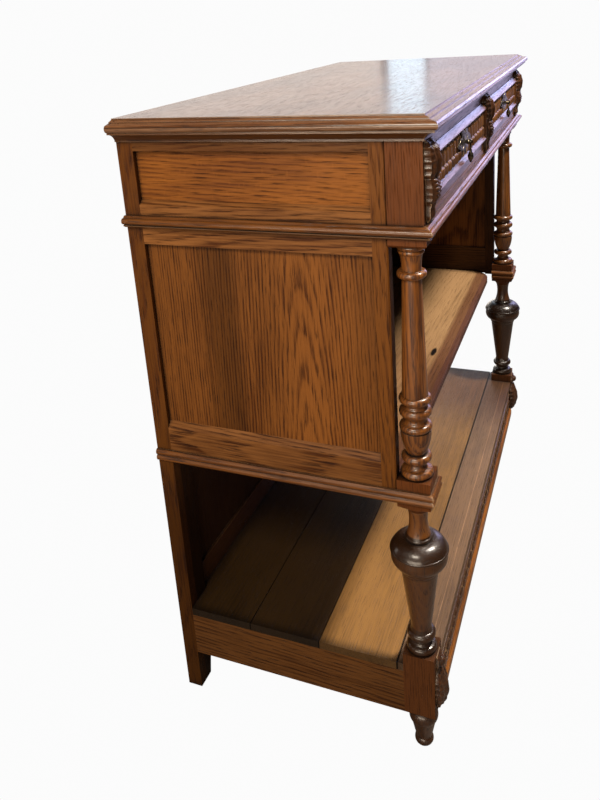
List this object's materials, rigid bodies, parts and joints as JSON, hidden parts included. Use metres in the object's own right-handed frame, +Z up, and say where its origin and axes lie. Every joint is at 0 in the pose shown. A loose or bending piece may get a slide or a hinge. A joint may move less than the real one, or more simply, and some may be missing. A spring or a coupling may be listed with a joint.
{
  "type": "sideboard buffet",
  "caption": "Carved oak open sideboard with two frieze drawers over a middle shelf and a boarded base, turned front legs, panelled ends and back, and swinging brass pulls.",
  "frame": {"origin": "on the floor, under the middle of the top board", "axes": "+X to the right end seen from the front, -Y out of the front with the drawers, +Z up"},
  "size_m": [1.084, 0.485, 1.045],
  "materials": {
    "frame_oak": "dark golden-brown stained oak with a worn satin wax polish",
    "panel_oak": "golden-brown oak panel with visible grain and a satin wax polish",
    "turned_oak": "dark turned oak with a glossy polish",
    "carved_oak": "dark carved oak, with dirt in the hollows and worn edges",
    "top_oak": "smooth oak top with a glossy wax polish",
    "shelf_oak": "paler, drier oak shelf boards with a dull worn surface",
    "inner_wood": "dark unpolished wood",
    "antique_brass": "old brass with a brown-green patina and rubbed high points"
  },
  "bodies": {
    "case": {"top_board": "top_oak", "bed_moulding": "frame_oak", "waist_moulding": "frame_oak", "architrave_blocks": "frame_oak", "turned_feet": "turned_oak", "centre_corbel": "carved_oak", "base_carvings": "carved_oak", "front_top_rail": "frame_oak", "front_bottom_rail": "frame_oak", "centre_divider": "frame_oak", "drawer_supports": "inner_wood", "back_rails": "inner_wood", "back_muntins": "inner_wood", "back_panels": "inner_wood", "middle_shelf": "shelf_oak", "bottom_boards": "shelf_oak", "front_apron": "carved_oak", "left_back_post": "frame_oak", "left_front_stile": "frame_oak", "left_frieze_top_rail": "frame_oak", "left_middle_rail": "frame_oak", "left_bottom_rail": "frame_oak", "left_frieze_panel": "panel_oak", "left_side_panel": "panel_oak", "left_string_moulding": "frame_oak", "left_corner_block": "frame_oak", "left_column": "turned_oak", "left_mid_block": "frame_oak", "left_baluster": "turned_oak", "left_base_block": "frame_oak", "left_base_side_rail": "frame_oak", "left_corbel": "carved_oak", "right_back_post": "frame_oak", "right_front_stile": "frame_oak", "right_frieze_top_rail": "frame_oak", "right_middle_rail": "frame_oak", "right_bottom_rail": "frame_oak", "right_frieze_panel": "panel_oak", "right_side_panel": "panel_oak", "right_string_moulding": "frame_oak", "right_corner_block": "frame_oak", "right_column": "turned_oak", "right_mid_block": "frame_oak", "right_baluster": "turned_oak", "right_base_block": "frame_oak", "right_base_side_rail": "frame_oak", "right_corbel": "carved_oak"},
    "left_drawer": {"left_drawer_front": "carved_oak", "left_drawer_sides": "inner_wood", "left_drawer_back": "inner_wood", "left_drawer_base": "inner_wood", "left_pull_plate": "antique_brass"},
    "left_pull": {"left_pull_drop": "antique_brass"},
    "right_drawer": {"right_drawer_front": "carved_oak", "right_drawer_sides": "inner_wood", "right_drawer_back": "inner_wood", "right_drawer_base": "inner_wood", "right_pull_plate": "antique_brass"},
    "right_pull": {"right_pull_drop": "antique_brass"}
  },
  "joints": [
    {"name": "left_drawer_slide", "type": "slide", "parent": "case", "child": "left_drawer", "axis": [0, -1, 0], "range_m": [0, 0.3]},
    {"name": "right_drawer_slide", "type": "slide", "parent": "case", "child": "right_drawer", "axis": [0, -1, 0], "range_m": [0, 0.3]},
    {"name": "left_pull_swing", "type": "hinge", "parent": "left_drawer", "child": "left_pull", "pos_m": [-0.246, -0.232, 0.9615], "axis": [-1, 0, 0], "range_deg": [0, 80]},
    {"name": "right_pull_swing", "type": "hinge", "parent": "right_drawer", "child": "right_pull", "pos_m": [0.246, -0.232, 0.9615], "axis": [-1, 0, 0], "range_deg": [0, 80]}
  ]
}
